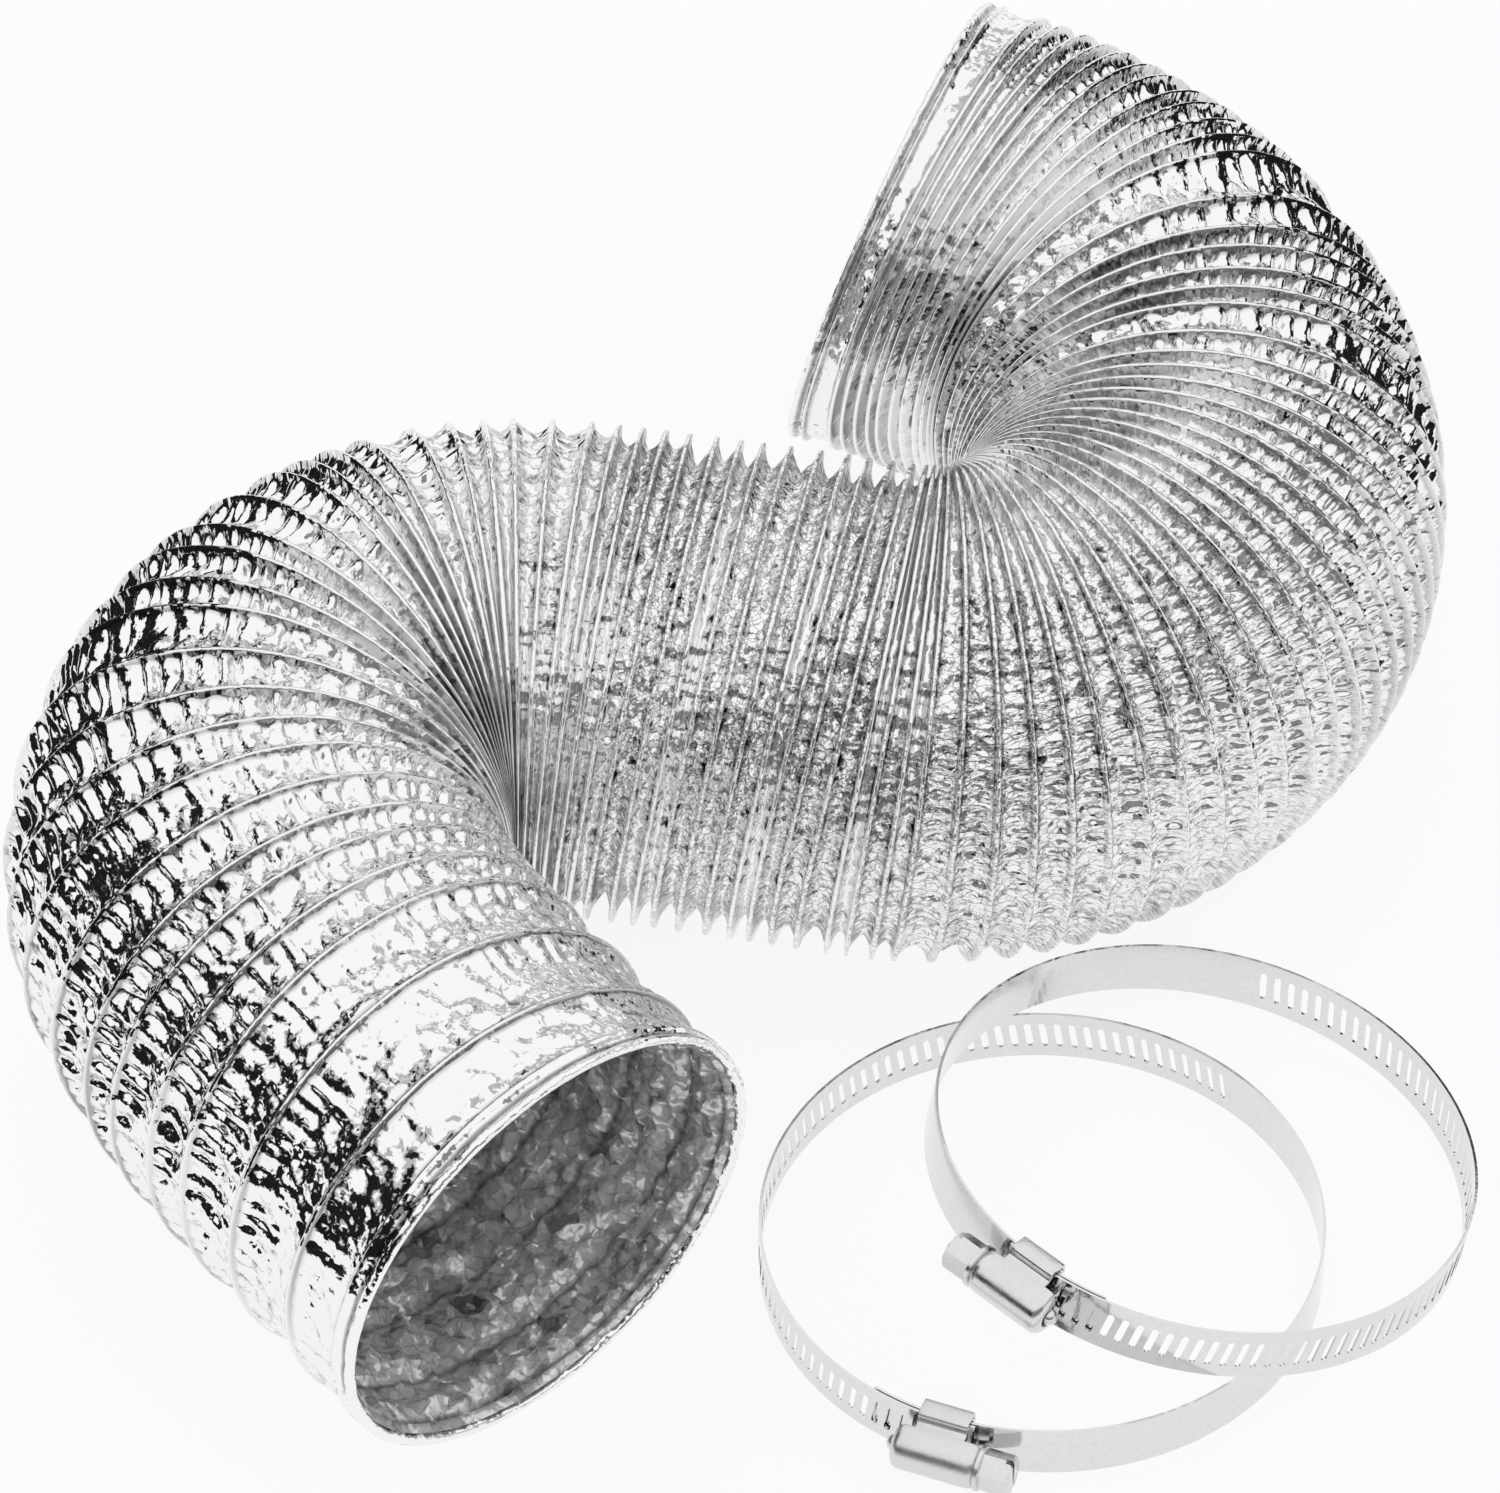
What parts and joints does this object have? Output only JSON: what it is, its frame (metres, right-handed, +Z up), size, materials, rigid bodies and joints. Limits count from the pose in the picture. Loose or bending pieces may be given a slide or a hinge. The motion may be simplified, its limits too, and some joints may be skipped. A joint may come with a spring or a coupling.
{
  "type": "flexible air duct",
  "caption": "Flexible foil air duct laid in an S, with wire-ribbed bellows walls, open mouths and loose worm-drive band clamps",
  "frame": {"origin": "centre of the bounding box's footprint, on the floor that the duct lies on", "axes": "+Z up, +Y away from the front mouth's side towards the rear mouth, +X towards the clamps' side"},
  "size_m": [0.315, 0.3948, 0.1075],
  "materials": {
    "outer_foil": "bright crinkled foil",
    "inner_foil": "bright crinkled foil",
    "spring_wire": "drawn spring steel",
    "stainless_band": "polished stainless strip",
    "plated_steel": "satin plated steel"
  },
  "bodies": {
    "middle": {"outer_sleeve_middle": "outer_foil", "inner_liner_middle": "inner_foil", "outer_sleeve_left_bend_end": "outer_foil", "inner_liner_left_bend_end": "inner_foil", "outer_sleeve_right_bend_start": "outer_foil", "inner_liner_right_bend_start": "inner_foil"},
    "front_limb": {"outer_sleeve_left_bend_start": "outer_foil", "inner_liner_left_bend_start": "inner_foil", "outer_sleeve_front_limb": "outer_foil", "inner_liner_front_limb": "inner_foil", "outer_sleeve_front_bellows": "outer_foil", "inner_liner_front_bellows": "inner_foil"},
    "front_end": {"outer_sleeve_front_cuff": "outer_foil", "inner_liner_front_cuff": "inner_foil", "rim_wire_front": "spring_wire"},
    "rear_limb": {"outer_sleeve_right_bend_middle": "outer_foil", "inner_liner_right_bend_middle": "inner_foil", "outer_sleeve_right_bend_end": "outer_foil", "inner_liner_right_bend_end": "inner_foil", "outer_sleeve_rear_limb": "outer_foil", "inner_liner_rear_limb": "inner_foil", "outer_sleeve_rear_bellows": "outer_foil", "inner_liner_rear_bellows": "inner_foil"},
    "rear_end": {"outer_sleeve_rear_cuff": "outer_foil", "inner_liner_rear_cuff": "inner_foil", "rim_wire_rear": "spring_wire"},
    "front_clamp": {"front_clamp_band": "stainless_band", "front_clamp_saddle": "stainless_band", "front_clamp_housing": "plated_steel"},
    "front_clamp_screw": {"front_clamp_screw": "plated_steel"},
    "rear_clamp": {"rear_clamp_band": "stainless_band", "rear_clamp_saddle": "stainless_band", "rear_clamp_housing": "plated_steel"},
    "rear_clamp_screw": {"rear_clamp_screw": "plated_steel"}
  },
  "joints": [
    {"name": "left_bend_open", "type": "hinge", "parent": "middle", "child": "front_limb", "pos_m": [-0.14758, -0.00902, 0.0535], "axis": [0, 0, -1], "range_deg": [0, 30], "deforming": ["outer_sleeve_left_bend_start", "inner_liner_left_bend_start", "outer_sleeve_left_bend_end", "inner_liner_left_bend_end"]},
    {"name": "front_end_stretch", "type": "slide", "parent": "front_limb", "child": "front_end", "axis": [0.6455, -0.7638, 0], "range_m": [-0.016, 0.012], "deforming": ["outer_sleeve_front_bellows", "inner_liner_front_bellows"]},
    {"name": "right_bend_open", "type": "hinge", "parent": "middle", "child": "rear_limb", "pos_m": [0.11433, -0.03264, 0.0535], "axis": [0, 0, -1], "range_deg": [0, 30], "deforming": ["outer_sleeve_right_bend_start", "inner_liner_right_bend_start", "outer_sleeve_right_bend_middle", "inner_liner_right_bend_middle"]},
    {"name": "rear_end_stretch", "type": "slide", "parent": "rear_limb", "child": "rear_end", "axis": [-0.9481, 0.3179, 0], "range_m": [-0.01, 0.04], "deforming": ["outer_sleeve_rear_bellows", "inner_liner_rear_bellows"]},
    {"name": "front_clamp_lift", "type": "slide", "parent": "middle", "child": "front_clamp", "axis": [0.145, -0.2126, 0.9663], "range_m": [0, 0.15]},
    {"name": "rear_clamp_lift", "type": "slide", "parent": "front_clamp", "child": "rear_clamp", "axis": [0.145, -0.2126, 0.9663], "range_m": [0, 0.15]},
    {"name": "front_clamp_screw_turn", "type": "hinge", "parent": "front_clamp", "child": "front_clamp_screw", "pos_m": [0.04167, -0.18128, 0.00774], "axis": [0.9336, -0.3584, 0], "continuous": true},
    {"name": "rear_clamp_screw_turn", "type": "hinge", "parent": "rear_clamp", "child": "rear_clamp_screw", "pos_m": [0.05813, -0.15472, 0.02883], "axis": [-0.7526, 0.6527, 0.0868], "continuous": true}
  ]
}
